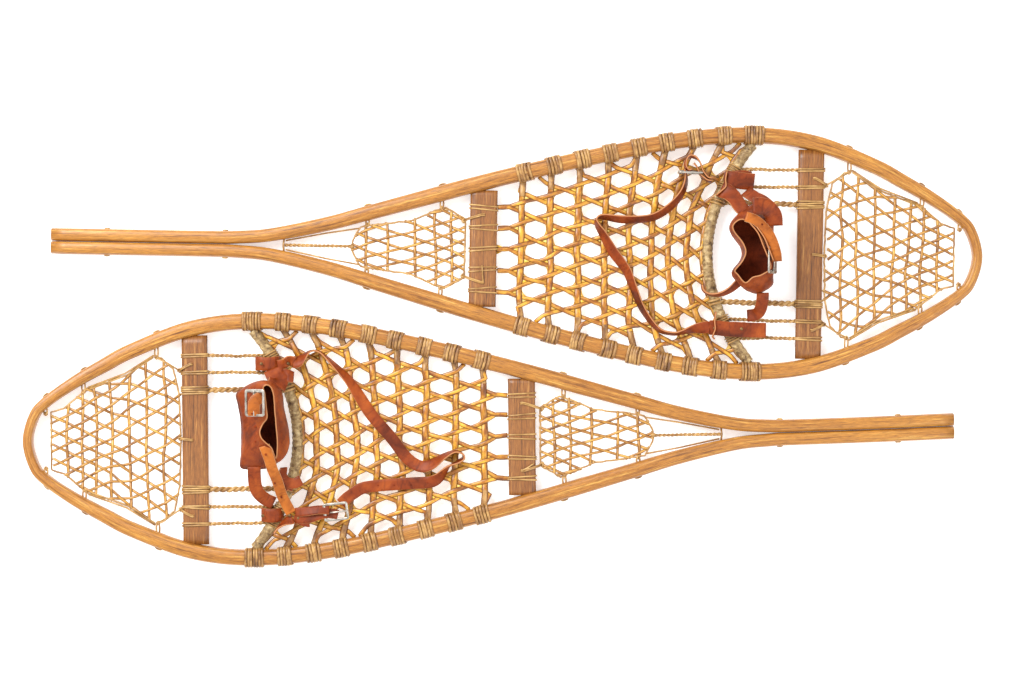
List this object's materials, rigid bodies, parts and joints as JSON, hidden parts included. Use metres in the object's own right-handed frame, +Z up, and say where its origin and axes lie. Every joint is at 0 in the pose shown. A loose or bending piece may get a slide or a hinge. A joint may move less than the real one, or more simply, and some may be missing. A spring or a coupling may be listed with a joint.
{
  "type": "pair of snowshoes",
  "caption": "Pair of long-tailed wooden snowshoes with laced rawhide webbing and buckled leather bindings, laid toe to tail.",
  "frame": {"origin": "centre of the pair's outline at the level they lie on", "axes": "+X towards the toe of shoe a, which lies at +Y; shoe b lies at -Y with its toe to -X; +Z up"},
  "size_m": [1.257, 0.5802, 0.1037],
  "materials": {
    "ash": "varnished, semi-gloss",
    "dark_ash": "varnished, semi-gloss",
    "rawhide": "varnished, translucent",
    "fine_rawhide": "varnished",
    "bound_cord": "matt, mottled",
    "rawhide_wrap": "satin, striated",
    "thong": "satin",
    "leather": "satin",
    "tan_leather": "satin",
    "nickel": "polished, worn"
  },
  "bodies": {
    "deck_a": {"frame_a": "ash", "tail_rivets_a": "thong", "toe_crossbar_a": "dark_ash", "heel_crossbar_a": "dark_ash", "toe_cord_a": "bound_cord", "toe_cord_wraps_a": "rawhide_wrap", "tension_cords_a": "thong", "bar_lashings_a": "thong", "main_webbing_a": "rawhide", "rail_wraps_a": "rawhide_wrap", "toe_webbing_a": "fine_rawhide", "toe_selvage_a": "thong", "tail_webbing_a": "fine_rawhide", "tail_selvage_a": "thong", "thongs_a": "thong"},
    "binding_a": {"keeper_left_a": "leather", "keeper_right_a": "leather", "toe_cup_a": "leather", "under_strap_a": "leather", "side_strap_a": "leather", "toe_strap_a": "tan_leather", "toe_chape_a": "leather", "binding_rivets_a": "nickel", "strap_end_a": "leather"},
    "toe_buckle_a": {"toe_buckle_a": "nickel"},
    "toe_prong_a": {"toe_prong_a": "nickel"},
    "heel_strap_a": {"heel_strap_a": "leather", "heel_chape_a": "leather"},
    "heel_buckle_a": {"heel_buckle_a": "nickel"},
    "heel_prong_a": {"heel_prong_a": "nickel"},
    "deck_b": {"frame_b": "ash", "tail_rivets_b": "thong", "toe_crossbar_b": "dark_ash", "heel_crossbar_b": "dark_ash", "toe_cord_b": "bound_cord", "toe_cord_wraps_b": "rawhide_wrap", "tension_cords_b": "thong", "bar_lashings_b": "thong", "main_webbing_b": "rawhide", "rail_wraps_b": "rawhide_wrap", "toe_webbing_b": "fine_rawhide", "toe_selvage_b": "thong", "tail_webbing_b": "fine_rawhide", "tail_selvage_b": "thong", "thongs_b": "thong"},
    "binding_b": {"keeper_left_b": "leather", "keeper_right_b": "leather", "toe_cup_b": "leather", "under_strap_b": "leather", "side_strap_b": "leather", "toe_strap_b": "tan_leather", "toe_chape_b": "leather", "binding_rivets_b": "nickel", "strap_end_b": "leather"},
    "toe_buckle_b": {"toe_buckle_b": "nickel"},
    "toe_prong_b": {"toe_prong_b": "nickel"},
    "heel_strap_b": {"heel_strap_b": "leather", "heel_chape_b": "leather"},
    "heel_buckle_b": {"heel_buckle_b": "nickel"},
    "heel_prong_b": {"heel_prong_b": "nickel"}
  },
  "joints": [
    {"name": "binding_pivot_a", "type": "hinge", "parent": "deck_a", "child": "binding_a", "pos_m": [0.29591, 0.12248, 0.015], "axis": [0.018, 0.9998, 0], "range_deg": [0, 30]},
    {"name": "toe_buckle_hinge_a", "type": "hinge", "parent": "binding_a", "child": "toe_buckle_a", "pos_m": [0.34684, 0.09706, 0.08112], "axis": [0.4225, -0.0076, -0.9063], "range_deg": [0, 60]},
    {"name": "toe_prong_hinge_a", "type": "hinge", "parent": "toe_buckle_a", "child": "toe_prong_a", "pos_m": [0.34684, 0.09706, 0.08112], "axis": [0.4225, -0.0076, -0.9063], "range_deg": [0, 80]},
    {"name": "heel_strap_lift_a", "type": "hinge", "parent": "binding_a", "child": "heel_strap_a", "pos_m": [0.27156, 0.12292, 0.0319], "axis": [0.018, 0.9998, 0], "range_deg": [0, 80]},
    {"name": "heel_buckle_hinge_a", "type": "hinge", "parent": "heel_strap_a", "child": "heel_buckle_a", "pos_m": [0.25841, 0.22617, 0.031], "axis": [0, 0, -1], "range_deg": [0, 35]},
    {"name": "heel_prong_hinge_a", "type": "hinge", "parent": "heel_buckle_a", "child": "heel_prong_a", "pos_m": [0.25841, 0.22617, 0.031], "axis": [0, 0, -1], "range_deg": [0, 80]},
    {"name": "binding_pivot_b", "type": "hinge", "parent": "deck_b", "child": "binding_b", "pos_m": [-0.29587, -0.12137, 0.015], "axis": [0.0094, -1, 0], "range_deg": [0, 30]},
    {"name": "toe_buckle_hinge_b", "type": "hinge", "parent": "binding_b", "child": "toe_buckle_b", "pos_m": [-0.31692, -0.05756, 0.09427], "axis": [-0.866, -0.0082, -0.5], "range_deg": [0, 60]},
    {"name": "toe_prong_hinge_b", "type": "hinge", "parent": "toe_buckle_b", "child": "toe_prong_b", "pos_m": [-0.31692, -0.05756, 0.09427], "axis": [-0.866, -0.0082, -0.5], "range_deg": [0, 80]},
    {"name": "heel_strap_lift_b", "type": "hinge", "parent": "binding_b", "child": "heel_strap_b", "pos_m": [-0.27152, -0.12114, 0.0319], "axis": [0.0094, -1, 0], "range_deg": [0, 80]},
    {"name": "heel_buckle_hinge_b", "type": "hinge", "parent": "heel_strap_b", "child": "heel_buckle_b", "pos_m": [-0.23061, -0.21675, 0.031], "axis": [0.1114, -0.9718, -0.2079], "range_deg": [0, 60]},
    {"name": "heel_prong_hinge_b", "type": "hinge", "parent": "heel_buckle_b", "child": "heel_prong_b", "pos_m": [-0.23061, -0.21675, 0.031], "axis": [0.1114, -0.9718, -0.2079], "range_deg": [0, 80]},
    {"name": "lift_shoe_b", "type": "slide", "parent": "deck_a", "child": "deck_b", "axis": [0, 0, 1], "range_m": [0, 0.3]}
  ]
}
